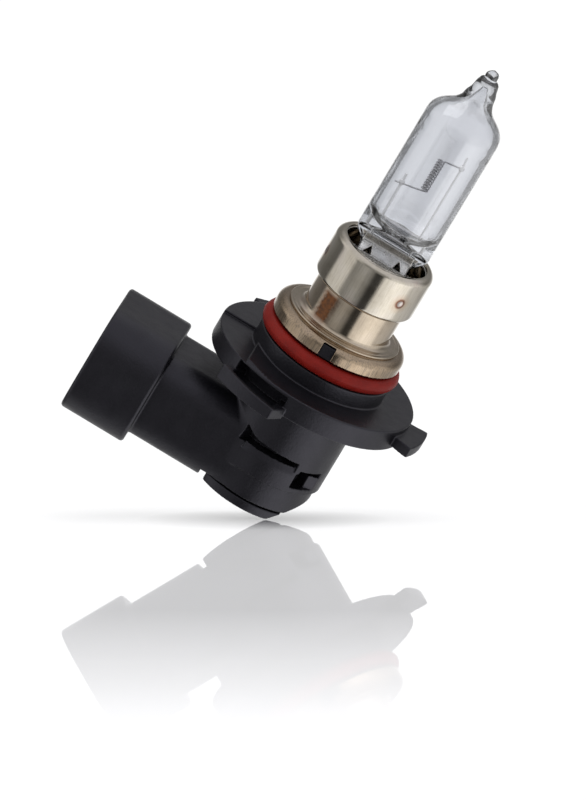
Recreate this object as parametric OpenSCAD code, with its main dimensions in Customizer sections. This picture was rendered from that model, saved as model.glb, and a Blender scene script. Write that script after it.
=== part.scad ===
// Headlight bulb: glass envelope, metal collar, sealed plastic cap and side connector.
// The bulb stands on +Z. The origin is on the bulb's axis, in the plane of the
// cap flange's seating face. The connector points along -X.

/* [Glass] */
// Outside diameter of the glass tube
glass_d = 11.66; // [11.2:0.02:12]
// Wall thickness of the glass tube
glass_wall = 1.05; // [0.8:0.05:1.3]
// Height of the shoulder's centre, where the tube starts to close
shoulder_z = 41.1; // [40:0.1:42]
// Outside radius of the shoulder
shoulder_r = 3.3; // [2.8:0.1:3.6]
// Height of the centre of the ball that ends the sealed tip
tip_ball_z = 50.15; // [49.8:0.05:51]
// Radius of that ball
tip_ball_r = 0.95; // [0.8:0.05:1.1]

/* [Filament] */
// Outside diameter of the coil
coil_d = 1.4; // [1.3:0.05:1.6]
// Height of the coil's lower end
coil_low_z = 30.6; // [30:0.1:31]
// Length of the coil
coil_len = 5.4; // [5:0.1:5.6]
// Number of turns in the coil
coil_turns = 12; // [8:1:14]
// Diameter of the coil's wire
coil_wire_d = 0.24; // [0.2:0.01:0.26]
// Distance of the short post from the axis, towards the connector
short_post_x = 3.26; // [3.1:0.02:3.4]
// Distance of the tall post from the axis, away from the connector
tall_post_x = 2.96; // [2.8:0.02:3.1]

/* [Metal collar] */
// Outside diameter of the upper sleeve
can_d = 15.2; // [15:0.1:15.4]
// Height of the upper sleeve's rim
can_top_z = 20.1; // [20:0.1:20.2]
// Height of the upper sleeve's lower edge
can_low_z = 12.9; // [12.5:0.1:13.2]
// Outside diameter of the lower sleeve
neck_d = 13.26; // [13:0.02:13.4]
// Outside diameter of the locating ring
ring_d = 20; // [19.9:0.01:20.1]
// Height of the locating ring's top face
ring_top_z = 7.5; // [7.4:0.1:7.6]
// Height of the locating ring's lower edge
ring_low_z = 5.2; // [5.1:0.1:5.3]
// Thickness of the sheet metal
sheet = 0.4; // [0.35:0.05:0.45]

/* [Seal] */
// Diameter of the seal ring's section
seal_section = 2.4; // [2.3:0.05:2.4]
// Outside diameter of the seal ring
seal_d = 21.5; // [21.3:0.1:21.7]

/* [Cap] */
// Diameter of the flange
flange_d = 30.5; // [30:0.1:31]
// Thickness of the flange
flange_t = 3.3; // [3:0.1:3.5]
// Diameter of the port spigot under the seal ring
spigot_d = 20.3; // [20.2:0.1:20.4]
// Distance across the tips of the bayonet lugs, measured as a diameter
lug_d = 36.2; // [35.5:0.1:37]
// Diameter of the cap's body below the flange
body_d = 17.9; // [17.6:0.1:18]
// Diameter of the body's lower end
body_low_d = 16.9; // [16.8:0.1:17]
// Depth of the seam between body and bottom cover, below the flange's face
seam_depth = 19.55; // [19:0.05:19.7]
// Thickness of the bottom cover
cover_t = 1.6; // [1.2:0.05:1.7]

/* [Connector] */
// Distance from the axis to the connector's mouth
mouth_x = 28.2; // [27:0.1:30]
// Length of the wider collar at the mouth
collar_len = 10.1; // [9:0.1:11]
// Width of the connector's neck, across the bulb's axis
neck_w = 16.4; // [16:0.1:16.8]
// Height of the connector's neck, along the bulb's axis
neck_h = 13.1; // [12.6:0.1:13.4]
// Corner radius of the connector's neck
neck_corner = 4.2; // [3.5:0.1:4.5]
// How far the collar stands out from the neck all round
collar_step = 1.7; // [1.4:0.1:2]
// Depth of the connector's axis below the flange's face
connector_depth = 14.7; // [14.5:0.1:15]
// Wall thickness of the connector's neck
socket_wall = 1.5; // [1.3:0.1:1.7]
// Depth of the socket from its mouth
socket_depth = 15.2; // [14:0.1:16]

/* [Hidden] */
$fn = 96;
eps = 0.01;                          // overlap that makes a cut go clean through
reach = 20;                          // beyond the body on every side, for blocks that cut

// glass
glass_r = glass_d / 2;
bore_r = glass_r - glass_wall;
pinch_low_z = 10.5;                  // lower end of the flattened pinch
pinch_hw = 4;                        // half width of the pinch
pinch_ht = 1.45;                     // half thickness of the pinch
edge_low_z = 19.7;                   // where the pinch's edges start to flare out
edge_high_z = 21.9;                  // where they reach the tube
face_low_z = 21.85;                  // where the pinch's faces start to flare out
face_high_z = 24.2;                  // where they reach the tube
floor_z = 23.7;                      // inside floor of the tube
floor_corner = 2.5;                  // round corner between floor and bore
shoulder_in_r = 2.6;                 // inside radius of the shoulder
throat_low_r = 1.9;                  // narrow throat that runs up into the tip
throat_top_r = 0.5;
throat_top_z = 48.4;
tip_foot_r = 2.5;                    // radius of the tip where it leaves the shoulder
tip_foot_z = 45.6;
tip_top_r = 1.5;                     // radius of the tip's cone just below the ball
tip_top_z = 49.2;

// wires and foils
short_top_z = 31.4;
tall_top_z = 37.8;
short_post_r = 0.22;
tall_post_r = 0.18;
post_low_z = 17.6;                   // lower ends of the posts, inside the pinch
foil_low_z = 12.2;
foil_high_z = 18.4;
foil_w = 2.4;
foil_t = 0.05;
lead_r = 0.35;
lead_top_z = 13;
lead_low_z = -15.8;

// metal collar
can_r = can_d / 2;
can_corner = 1;                      // round corner at the rim
can_heel = 0.8;                      // round corner at the lower edge
neck_r = neck_d / 2;
neck_top_z = 14.6;                   // lower sleeve's upper end, inside the upper sleeve
foot_r = 8.6;                        // welded foot of the lower sleeve
foot_t = 0.3;
foot_fillet = 0.8;
ring_r = ring_d / 2;
ring_corner = 1.2;
ring_t = 0.5;
ring_hole_r = neck_r - sheet;
ring_slots = 3;
slot_w = 2;
slot_top_z = 7.2;

// clip
clip_t = 0.35;
clip_z = can_top_z - sheet - 0.05;   // top of the clip's plate, just under the rim
clip_r = can_r - sheet - 0.05;
jaw_hw = 3.85;                       // half width of the jaws
jaw_top_z = 21.7;
jaw_low_z = 20.35;
apron_y = 3.8;                       // where the sloped apron meets the plate
window_x = 4.2;                      // inner edge of the plate's side windows
leg_low_z = 14.9;
leg_sweep = 34;                      // width of each leg, degrees
weld_azimuth = -46;                  // first of three legs, 120 degrees apart

// cap
flange_r = flange_d / 2;
spigot_r = spigot_d / 2;
spigot_top_z = 2.5;
groove_r = 8.35;                     // floor of the seal's groove
crown_r = ring_r - ring_t - 0.05;    // plastic inside the locating ring
crown_low_z = spigot_top_z + seal_section + 0.05;
crown_top_z = ring_top_z - ring_t - 0.02;
body_r = body_d / 2;
body_low_r = body_low_d / 2;
body_step_z = -15.9;                 // where the body narrows to its lower end
seam_z = -seam_depth;
cover_low_z = seam_z - cover_t;
cover_left_x = -5.8;                 // the cover's straight edge beside the neck
bevel_x = 8.5;                       // the bevel opposite the connector starts here
bevel_z = -17.85;
bevel_run = 3.8;
bevel_drop = 3.21;
well_r = 6;                          // round well under the lower sleeve
well_low_z = -8.3;
web_low_z = -10.3;                   // underside of the web that the leads pass through
lead_hole_r = 0.5;
chamber_r = 5.9;                     // rear chamber, closed by the bottom cover
chamber_left_x = -5;
compound_top_z = -12;
plug_t = 0.8;                        // part of the cover that enters the chamber

// high bayonet lugs: start and end azimuth of each
lugs = [[-20.5, 7.5], [104, 134]];
lug_r = lug_d / 2;
lug_root_r = 14;
lug_low_z = -2.65;
lug_high_z = -1.05;

// low bayonet lug, front left: a wall with a groove behind it
low_lug_az = -129.5;                 // its left end
low_lug_end = [-2.25, -17.95];       // outer corner of its skewed right end, in plan
low_lug_end_in = [-0.47, -14.77];    // a point further in along that end
low_lug_past_az = -85;               // past that skewed end
low_lug_root_r = 15.1;               // just inside the flange's edge
low_lug_low_z = -3.8;
low_lug_left_z = -1.5;               // its top face slopes down to the right
low_lug_right_z = -2.07;
groove_az = [-128, -99];
groove_in_r = 13.25;
groove_out_r = 17.2;
groove_floor_z = -2.75;
mouth_az = -95;                      // right end of the mouth over the groove
mouth_reach = 1;                     // how far the mouth runs out past the flange
mouth_lip = 0.55;

// step and ramp in the flange's face, front left
step_az = [178, 240];
left_step_x = -8.93;                 // the step's straight edge
left_step = 0.4;
ramp_h = 0.3;
ramp_end_x = -4.6;
ramp_inset = 0.2;                    // from the flange's edge

// upper window: a deep slot with a tapered recess below it
slot_depth = 2.4;
upper_window_az = [-112, -57.6];
upper_window_low_z = -13.1;
upper_slot_low_z = -12.05;
upper_recess_depth = 0.4;
upper_slot_az = -118;                // the upper slot runs on to the connector's neck
slot_roof = [[6, -11.35], [-1.4, -10.72], [-2.8, -10.41], [-4.4, -9.8]];    // (x, z) line

// lower window: a deep slot, a deep pocket below its left part, and a facet on its right
lower_slot_az = [-52, -24];
lower_slot_low_z = -13;
lower_slot_top_z = -12.25;
pocket_az = [-54, -35];
pocket_low_z = -15.05;
pocket_lap = 0.2;                    // the pocket and the facet run up into the slot
facet_in = [6.6, -4.81];             // the facet's line, in plan
facet_out = [8.7, -3.33];

// connector
socket_z = -connector_depth;
neck_end_x = -6.7;                   // where the neck's underside stops, beside the cover
socket_floor_x = socket_depth - mouth_x;
key_w = 1.4;                         // polarising rib on the socket's roof
key_h = 0.9;
blade_y = 2.75;
blade_t = 0.8;
blade_h = 2.8;
blade_tip_x = -21.6;
blade_tip_bevel = 0.25;
blade_tip_len = 0.9;

// A ring of rectangular section between two radii and two azimuths
module sector(r_in, r_out, az0, az1, z0, z1) {
    rotate([0, 0, az0])
        rotate_extrude(angle = az1 - az0)
            translate([r_in, z0]) square([r_out - r_in, z1 - z0]);
}

// A full ring of rectangular section
module band(r_in, r_out, z0, z1) {
    rotate_extrude() translate([r_in, z0]) square([r_out - r_in, z1 - z0]);
}

// The upper window on the front side
module upper_window() {
    out_r = body_r + 1;
    in_r = body_r - slot_depth;
    taper = (upper_slot_low_z - upper_window_low_z) / upper_recess_depth;
    start = slot_roof[0];
    end = slot_roof[3];
    intersection() {
        union() {
            rotate([0, 0, upper_window_az[0]])
                rotate_extrude(angle = upper_window_az[1] - upper_window_az[0])
                    polygon([[out_r, upper_window_low_z - taper * (out_r - body_r)],
                             [out_r, 0], [in_r, 0], [in_r, upper_slot_low_z],
                             [body_r - upper_recess_depth, upper_slot_low_z]]);
            sector(in_r, out_r, upper_slot_az, upper_window_az[0] + 1, upper_slot_low_z, 0);
        }
        translate([0, reach, 0])
            rotate([90, 0, 0])
                linear_extrude(height = 2 * reach)
                    polygon(concat(slot_roof, [[end[0] - 2, end[1]], [end[0] - 2, -reach],
                                               [start[0], -reach]]));
    }
}

// The lower window on the front side
module lower_window() {
    in_r = body_r - slot_depth;
    out_r = body_r + 1;
    far_r = body_r + 3;
    sector(in_r, out_r, lower_slot_az[0], lower_slot_az[1], lower_slot_low_z,
           lower_slot_top_z);
    translate([0, 0, pocket_low_z])
        linear_extrude(height = lower_slot_low_z - pocket_low_z + pocket_lap)
            difference() {
                union() {
                    polygon([[0, 0], for (a = pocket_az) [far_r * cos(a), far_r * sin(a)]]);
                    polygon([facet_in, facet_out, [out_r, facet_out[1]],
                             [out_r, -out_r], [facet_in[0], -out_r]]);
                }
                circle(r = in_r);
            }
}

// Both windows on the front side
module windows() {
    upper_window();
    lower_window();
}

// A rectangle with four round corners, centred
module rounded_rect(w, h, r) {
    square([w - 2 * r, h], center = true);
    square([w, h - 2 * r], center = true);
    for (sx = [-1, 1], sy = [-1, 1])
        translate([sx * (w / 2 - r), sy * (h / 2 - r)]) circle(r = r);
}

// A rounded bar along X: width across Y, height across Z, on the connector's axis
module connector_bar(x0, x1, w, h, r) {
    translate([x0, 0, socket_z])
        rotate([90, 0, 90])
            linear_extrude(height = x1 - x0) rounded_rect(w, h, r);
}

// Everything below the bevel opposite the connector
module bevel_cut() {
    slope = bevel_drop / bevel_run;
    translate([0, reach, 0])
        rotate([90, 0, 0])
            linear_extrude(height = 2 * reach)
                polygon([[bevel_x + 4, bevel_z + 4 * slope],
                         [bevel_x + 4, bevel_z - reach],
                         [bevel_x - bevel_run * 3, bevel_z - reach],
                         [bevel_x - bevel_run * 3, bevel_z - bevel_drop * 3]]);
}

// Outline of the tube's inside, from floor to shoulder, for turning about the axis
module bore_profile() {
    shoulder_in_z = shoulder_z + 0.1;
    intersection() {
        union() {
            translate([0, floor_z + floor_corner])
                square([bore_r, shoulder_in_z - floor_z - floor_corner]);
            translate([0, floor_z])
                square([bore_r - floor_corner, floor_corner]);
            translate([bore_r - floor_corner, floor_z + floor_corner])
                circle(r = floor_corner);
            translate([0, shoulder_in_z - eps])
                square([bore_r - shoulder_in_r, shoulder_in_r + eps]);
            translate([bore_r - shoulder_in_r, shoulder_in_z])
                circle(r = shoulder_in_r);
            polygon([[0, shoulder_in_z], [throat_low_r, shoulder_in_z + shoulder_in_r - 0.1],
                     [throat_top_r, throat_top_z], [0, throat_top_z]]);
        }
        translate([0, floor_z - 1]) square([bore_r, 30]);
    }
}

// Outline of the tube's outside, with the sealed tip
module tube_profile() {
    corner_x = glass_r - shoulder_r;
    intersection() {
        union() {
            translate([0, face_low_z - 3])
                square([glass_r, shoulder_z - face_low_z + 3]);
            translate([0, shoulder_z - eps]) square([corner_x, shoulder_r + eps]);
            translate([corner_x, shoulder_z]) circle(r = shoulder_r);
            polygon([[0, shoulder_z], [tip_foot_r + 1.2, shoulder_z + shoulder_r - 0.3],
                     [tip_foot_r, tip_foot_z], [tip_top_r, tip_top_z],
                     [tip_ball_r, tip_ball_z - 0.5], [0, tip_ball_z]]);
            translate([0, tip_ball_z]) circle(r = tip_ball_r);
        }
        square([glass_r, 60]);
    }
}

// The flattened pinch and its flare into the tube
module pinch() {
    top_z = face_high_z + 1;
    intersection() {
        translate([0, glass_r, 0]) rotate([90, 0, 0]) linear_extrude(height = glass_d)
            polygon([[-pinch_hw, pinch_low_z], [pinch_hw, pinch_low_z],
                     [pinch_hw, edge_low_z], [glass_r, edge_high_z], [glass_r, top_z],
                     [-glass_r, top_z], [-glass_r, edge_high_z],
                     [-pinch_hw, edge_low_z]]);
        translate([-glass_r, 0, 0]) rotate([90, 0, 90]) linear_extrude(height = glass_d)
            polygon([[-pinch_ht, pinch_low_z], [pinch_ht, pinch_low_z],
                     [pinch_ht, face_low_z], [glass_r, face_high_z], [glass_r, top_z],
                     [-glass_r, top_z], [-glass_r, face_high_z],
                     [-pinch_ht, face_low_z]]);
        cylinder(r = glass_r, h = top_z);
    }
}

module glass_envelope() {
    color([0.85, 0.88, 0.95, 0.4])
    difference() {
        union() {
            intersection() {
                rotate_extrude() tube_profile();
                translate([0, 0, face_high_z + 0.5]) cylinder(r = glass_d, h = 40);
            }
            pinch();
        }
        rotate_extrude() bore_profile();
        lead_post_short();
        lead_post_tall();
        seal_foil_left();
        seal_foil_right();
        outer_lead_left();
        outer_lead_right();
    }
}

// Point number i of the coil's centre line, s points to a turn
function coil_point(i, s) =
    let (a = 360 * i / s, r = (coil_d - coil_wire_d) / 2,
         rise = (coil_len - coil_wire_d) / coil_turns)
    [r * cos(a), r * sin(a), coil_low_z + coil_wire_d / 2 + rise * i / s];

// The coil's wire as one closed tube of six sides
module coil_wire() {
    s = 14;
    sides = 6;
    n = coil_turns * s;
    points = [for (i = [0:n], k = [0:sides - 1])
        let (p = coil_point(i, s), a = 360 * i / s, b = 360 * k / sides,
             out = cos(b) * coil_wire_d / 2, up = sin(b) * coil_wire_d / 2)
        [p[0] + out * cos(a), p[1] + out * sin(a), p[2] + up]];
    ends = [[for (k = [sides - 1:-1:0]) k],
            [for (k = [0:sides - 1]) n * sides + k]];
    walls = [for (i = [0:n - 1], k = [0:sides - 1])
        let (k2 = (k + 1) % sides)
        [i * sides + k, i * sides + k2, (i + 1) * sides + k2, (i + 1) * sides + k]];
    polyhedron(points, concat(ends, walls));
}

// A straight round wire between two points that differ along X and Z only
module wire_xz(a, b, r) {
    d = b - a;
    translate(a) rotate([0, atan2(d[0], d[2]), 0]) cylinder(r = r, h = norm(d));
}

module filament_coil() {
    leg_r = coil_wire_d / 2;
    mid_r = (coil_d - coil_wire_d) / 2;
    low = [mid_r, 0, coil_low_z + leg_r];
    high = [mid_r, 0, coil_low_z + coil_len - leg_r];
    color([0.35, 0.34, 0.36]) {
        coil_wire();
        wire_xz(low, [-short_post_x - 0.95, 0, coil_low_z - 0.95], leg_r);
        wire_xz(high, [tall_post_x + 0.45, 0, coil_low_z + coil_len + 0.35], leg_r);
    }
}

module lead_post_short() {
    color([0.6, 0.6, 0.62])
    translate([-short_post_x, short_post_r + coil_wire_d / 2, post_low_z])
        cylinder(r = short_post_r, h = short_top_z - post_low_z);
}

module lead_post_tall() {
    color([0.6, 0.6, 0.62])
    translate([tall_post_x, tall_post_r + coil_wire_d / 2, post_low_z])
        cylinder(r = tall_post_r, h = tall_top_z - post_low_z);
}

// A foil that lies against the post above it and the outer lead below it
module seal_foil(x) {
    color([0.7, 0.7, 0.72])
    translate([x - foil_w / 2, coil_wire_d / 2 - foil_t, foil_low_z])
        cube([foil_w, foil_t, foil_high_z - foil_low_z]);
}

module seal_foil_left() { seal_foil(-short_post_x); }

module seal_foil_right() { seal_foil(tall_post_x); }

// An outer lead, straight down from the pinch to its contact
module outer_lead(x) {
    color([0.72, 0.72, 0.74])
    translate([x, coil_wire_d / 2 + lead_r, lead_low_z])
        cylinder(r = lead_r, h = lead_top_z - lead_low_z);
}

module outer_lead_left() { outer_lead(-short_post_x); }

module outer_lead_right() { outer_lead(tall_post_x); }

// Half of the clip on the -Y side: jaw, sloped apron and the openings beside it
module clip_front() {
    jaw_y = -pinch_ht - clip_t;
    translate([-jaw_hw, jaw_y, jaw_low_z])
        cube([2 * jaw_hw, clip_t, jaw_top_z - jaw_low_z]);
    difference() {
        translate([-jaw_hw, 0, 0]) rotate([90, 0, 90]) linear_extrude(height = 2 * jaw_hw)
            polygon([[jaw_y + clip_t, jaw_low_z], [jaw_y + clip_t, jaw_low_z + clip_t],
                     [jaw_y, jaw_low_z + clip_t], [-apron_y, clip_z],
                     [-apron_y, clip_z - clip_t]]);
        for (s = [-1, 1])
            translate([0, 0, clip_z - 2]) linear_extrude(height = 4)
                polygon([[s * 2.2, -2.1], [s * 1.75, -apron_y], [s * 3.1, -apron_y]]);
    }
}

module pinch_clip() {
    color([0.78, 0.77, 0.75]) {
        clip_front();
        mirror([0, 1, 0]) clip_front();
        difference() {
            translate([0, 0, clip_z - clip_t]) cylinder(r = clip_r, h = clip_t);
            translate([-window_x, -apron_y, clip_z - 1])
                cube([2 * window_x, 2 * apron_y, 2]);
            for (s = [-1, 1])
                intersection() {
                    translate([s * (window_x + 5), 0, clip_z])
                        cube([10 + eps, 6.6, 4], center = true);
                    cylinder(r = clip_r - 0.9, h = 40);
                }
        }
        for (k = [0:2])
            sector(clip_r - clip_t, clip_r, weld_azimuth + 120 * k - leg_sweep / 2,
                   weld_azimuth + 120 * k + leg_sweep / 2, leg_low_z, clip_z);
    }
}

// Outline of the upper sleeve's skin, shrunk inwards by t
module can_skin(t) {
    rim_z = can_top_z - can_corner;
    heel_z = can_low_z + can_heel;
    intersection() {
        union() {
            translate([0, heel_z]) square([can_r - t, rim_z - heel_z]);
            translate([0, rim_z - eps]) square([can_r - can_corner, can_corner - t + eps]);
            translate([can_r - can_corner, rim_z]) circle(r = can_corner - t);
            translate([0, can_low_z + t]) square([can_r - can_heel, can_heel - t + eps]);
            translate([can_r - can_heel, heel_z]) circle(r = can_heel - t);
        }
        square([can_r, 60]);
    }
}

module upper_sleeve() {
    rim_hole_r = 6.35;
    color([0.72, 0.69, 0.64])
    difference() {
        rotate_extrude() can_skin(0);
        rotate_extrude() can_skin(sheet);
        translate([0, 0, can_low_z - 1]) cylinder(r = neck_r, h = 3);
        translate([0, 0, can_top_z - 2]) cylinder(r = rim_hole_r, h = 4);
    }
}

module lower_sleeve() {
    foot_top_z = ring_top_z + foot_t;
    color([0.70, 0.67, 0.62])
    difference() {
        union() {
            translate([0, 0, ring_top_z]) cylinder(r = neck_r, h = neck_top_z - ring_top_z);
            translate([0, 0, ring_top_z]) cylinder(r = foot_r, h = foot_t);
            rotate_extrude()
                difference() {
                    translate([neck_r - eps, foot_top_z - eps])
                        square([foot_fillet + eps, foot_fillet + eps]);
                    translate([neck_r + foot_fillet, foot_top_z + foot_fillet])
                        circle(r = foot_fillet);
                }
        }
        translate([0, 0, ring_top_z - 1]) cylinder(r = neck_r - sheet, h = neck_top_z);
    }
}

module locating_ring() {
    color([0.74, 0.71, 0.66])
    difference() {
        rotate_extrude()
            difference() {
                union() {
                    translate([0, ring_low_z])
                        square([ring_r, ring_top_z - ring_corner - ring_low_z]);
                    translate([0, ring_top_z - ring_corner - eps])
                        square([ring_r - ring_corner, ring_corner + eps]);
                    translate([ring_r - ring_corner, ring_top_z - ring_corner])
                        circle(r = ring_corner);
                }
                translate([-1, ring_low_z - 1])
                    square([ring_r - ring_t + 1, ring_top_z - ring_t - ring_low_z + 1]);
                translate([-1, 0]) square([ring_hole_r + 1, 20]);
                translate([-20, 0]) square([20, 20]);
            }
        for (k = [0:ring_slots - 1])
            rotate([0, 0, -90 + 360 * k / ring_slots])
                translate([ring_r - 2, -slot_w / 2, ring_low_z - 1])
                    cube([4, slot_w, slot_top_z - ring_low_z + 1]);
    }
}

module seal_ring() {
    color([0.68, 0.16, 0.12])
    translate([0, 0, spigot_top_z + seal_section / 2])
        rotate_extrude()
            translate([(seal_d - seal_section) / 2, 0]) circle(d = seal_section);
}

// Solid of the connector: neck, collar at the mouth and the end inside the body
module connector_solid() {
    connector_bar(-mouth_x, collar_len - mouth_x, neck_w + 2 * collar_step,
                  neck_h + 2 * collar_step, neck_corner + collar_step);
    connector_bar(collar_len - mouth_x - eps, neck_end_x, neck_w, neck_h, neck_corner);
    intersection() {
        connector_bar(neck_end_x - eps, 0, neck_w, neck_h, neck_corner);
        translate([-reach, -reach, seam_z]) cube(2 * reach);
    }
}

// The hollow of the socket, with the polarising rib left standing on its roof
module socket_hollow() {
    w = neck_w - 2 * socket_wall;
    h = neck_h - 2 * socket_wall;
    difference() {
        connector_bar(-mouth_x - eps, socket_floor_x, w, h, neck_corner - socket_wall);
        translate([-mouth_x - 1, -key_w / 2, socket_z + h / 2 - key_h])
            cube([socket_depth + 1, key_w, key_h + 1]);
    }
}

// The rear chamber's outline
module chamber(grow) {
    intersection() {
        circle(r = chamber_r + grow);
        translate([chamber_left_x - grow, -reach]) square(2 * reach);
    }
}

// The flange, with the step and the ramp in its seating face
module flange() {
    ramp_root = 0.5;
    difference() {
        translate([0, 0, -flange_t]) cylinder(r = flange_r, h = flange_t);
        intersection() {
            sector(groove_r, flange_r + 1, step_az[0], step_az[1], -left_step, 1);
            translate([left_step_x - 2 * reach, -reach, -reach]) cube(2 * reach);
        }
    }
    intersection() {
        translate([0, 0, -ramp_root])
            rotate([90, 0, 0])
                linear_extrude(height = flange_r)
                    polygon([[left_step_x, 0], [ramp_end_x, 0], [ramp_end_x, ramp_root],
                             [left_step_x, ramp_root + ramp_h]]);
        band(groove_r, flange_r - ramp_inset, -1, 2);
    }
}

// The low lug: a block of a ring with a sloping top, cut off askew at its right end
module low_lug() {
    end_run = low_lug_end_in - low_lug_end;
    near = low_lug_end - end_run / 2;
    far = low_lug_end + 3 * end_run;
    left_x = lug_r * cos(low_lug_az);
    below_z = low_lug_low_z - 1;
    intersection() {
        sector(low_lug_root_r, lug_r, low_lug_az, low_lug_past_az, low_lug_low_z, 0);
        rotate([90, 0, 0])
            linear_extrude(height = 2 * lug_r)
                polygon([[left_x - 1, below_z], [far[0], below_z], [far[0], low_lug_right_z],
                         [low_lug_end[0], low_lug_right_z], [left_x, low_lug_left_z],
                         [left_x - 1, low_lug_left_z]]);
        translate([0, 0, below_z])
            linear_extrude(height = -below_z)
                polygon([near, far, [-reach, far[1]], [-reach, near[1]]]);
    }
}

// The groove behind the low lug's wall, and the mouth that opens it under the flange's lip
module lug_groove() {
    sector(groove_in_r, groove_out_r, groove_az[0], groove_az[1], groove_floor_z,
           low_lug_right_z + eps);
    sector(groove_in_r, flange_r + mouth_reach, low_lug_az, mouth_az, low_lug_right_z,
           -mouth_lip);
}

module base_housing() {
    color([0.13, 0.13, 0.14])
    difference() {
        union() {
            flange();
            translate([0, 0, -1]) cylinder(r = spigot_r, h = spigot_top_z + 1);
            cylinder(r = groove_r, h = crown_top_z);
            translate([0, 0, crown_low_z]) cylinder(r = crown_r, h = crown_top_z - crown_low_z);
            translate([0, 0, body_step_z]) cylinder(r = body_r, h = -body_step_z - 1);
            translate([0, 0, seam_z]) cylinder(r = body_low_r, h = 6);
            connector_solid();
            for (g = lugs) sector(lug_root_r, lug_r, g[0], g[1], lug_low_z, lug_high_z);
            low_lug();
        }
        lug_groove();
        bevel_cut();
        windows();
        mirror([0, 1, 0]) windows();
        translate([0, 0, well_low_z]) cylinder(r = well_r, h = 30);
        translate([0, 0, seam_z - 1]) linear_extrude(height = web_low_z - seam_z + 1) chamber(0);
        for (x = [-short_post_x, tall_post_x])
            translate([x, coil_wire_d / 2 + lead_r, web_low_z - 1])
                cylinder(r = lead_hole_r, h = 4);
        socket_hollow();
        contact_front();
        contact_rear();
    }
}

module bottom_cover() {
    color([0.14, 0.14, 0.15]) {
        difference() {
            translate([0, 0, cover_low_z]) cylinder(r = body_low_r, h = cover_t);
            translate([cover_left_x - 2 * reach, -reach, cover_low_z - 1]) cube(2 * reach);
            bevel_cut();
        }
        translate([0, 0, seam_z - eps]) linear_extrude(height = plug_t) chamber(-0.05);
    }
}

// A contact: its blade in the socket, and its tab that crosses to the outer lead
module contact(side, tab_x) {
    y0 = side * blade_y - blade_t / 2;
    mid_y = coil_wire_d / 2 + lead_r;
    tab_y0 = min(side * (blade_y + blade_t / 2), mid_y - 0.6);
    tab_y1 = max(side * (blade_y + blade_t / 2), mid_y + 0.6);
    color([0.80, 0.78, 0.72]) {
        translate([0, 0, socket_z - blade_h / 2]) linear_extrude(height = blade_h)
            polygon([[tab_x, y0], [tab_x, y0 + blade_t],
                     [blade_tip_x + blade_tip_len, y0 + blade_t],
                     [blade_tip_x, y0 + blade_t - blade_tip_bevel],
                     [blade_tip_x, y0 + blade_tip_bevel],
                     [blade_tip_x + blade_tip_len, y0]]);
        translate([tab_x - blade_t, tab_y0, socket_z - blade_h / 2])
            cube([blade_t, tab_y1 - tab_y0, blade_h]);
    }
}

module contact_front() { contact(-1, -short_post_x + lead_r + blade_t); }

module contact_rear() { contact(1, tall_post_x - lead_r); }

module sealing_compound() {
    low_z = seam_z + plug_t;
    color([0.25, 0.20, 0.15])
    difference() {
        translate([0, 0, low_z]) linear_extrude(height = compound_top_z - low_z) chamber(0);
        contact_front();
        contact_rear();
        outer_lead_left();
        outer_lead_right();
    }
}

glass_envelope();
filament_coil();
lead_post_short();
lead_post_tall();
seal_foil_left();
seal_foil_right();
outer_lead_left();
outer_lead_right();
pinch_clip();
upper_sleeve();
lower_sleeve();
locating_ring();
seal_ring();
base_housing();
bottom_cover();
contact_front();
contact_rear();
sealing_compound();
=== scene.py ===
"""Headlight bulb: the looks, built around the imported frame.

Lengths are millimetres in the part's frame until a mesh is made. The bulb stands on +Z,
z = 0 is the cap flange's seating face, and the connector points along -X.
Solids are given by distance functions: below 0 inside, above 0 outside.
"""

import math
from functools import reduce

import bpy
import numpy as np
from mathutils import Matrix, Vector


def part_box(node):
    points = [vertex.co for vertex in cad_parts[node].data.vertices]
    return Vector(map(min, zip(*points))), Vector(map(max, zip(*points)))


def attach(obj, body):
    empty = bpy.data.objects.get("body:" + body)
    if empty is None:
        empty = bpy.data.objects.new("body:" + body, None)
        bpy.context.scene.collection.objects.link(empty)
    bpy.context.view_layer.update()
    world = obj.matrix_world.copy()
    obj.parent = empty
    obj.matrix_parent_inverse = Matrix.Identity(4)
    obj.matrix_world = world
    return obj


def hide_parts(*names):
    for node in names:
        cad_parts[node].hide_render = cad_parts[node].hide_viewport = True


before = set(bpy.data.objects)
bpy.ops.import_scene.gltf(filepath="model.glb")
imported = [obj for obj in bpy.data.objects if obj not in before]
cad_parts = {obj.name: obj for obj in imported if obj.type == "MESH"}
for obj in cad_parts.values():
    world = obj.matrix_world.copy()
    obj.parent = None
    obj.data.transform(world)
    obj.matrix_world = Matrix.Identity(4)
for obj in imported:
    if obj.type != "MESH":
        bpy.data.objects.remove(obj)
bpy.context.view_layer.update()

MM = 0.001


def box_mm(node):
    """A CAD node's lowest and highest corner in millimetres."""
    low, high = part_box(node)
    return low / MM, high / MM


# ---- sizes from the frame
# Its boxes don't give the tip's ball, the sheet, NECK_R or COVER_T.
glass_low, glass_high = box_mm("glass_envelope")
TUBE_R = glass_high.x
TIP_BALL_R = 0.95
TIP_BALL_Z = 50.15
PINCH_LOW_Z = glass_low.z

can_low, can_high = box_mm("upper_sleeve")
CAN_R = can_high.x
CAN_LOW_Z, CAN_TOP_Z = can_low.z, can_high.z
SHEET = 0.4

_, foot_high = box_mm("lower_sleeve")
FOOT_R = foot_high.x
NECK_TOP_Z = foot_high.z
NECK_R = 6.63

ring_low, ring_high = box_mm("locating_ring")
RING_R = ring_high.x
RING_LOW_Z, RING_TOP_Z = ring_low.z, ring_high.z

seal_low, seal_high = box_mm("seal_ring")
SEAL_R = seal_high.x
SEAL_SECTION = seal_high.z - seal_low.z
SEAL_Z = (seal_high.z + seal_low.z) / 2

cap_low, cap_high = box_mm("base_housing")
MOUTH_X = cap_low.x
CROWN_TOP_Z = cap_high.z
LUG_R = cap_high.x

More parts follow.
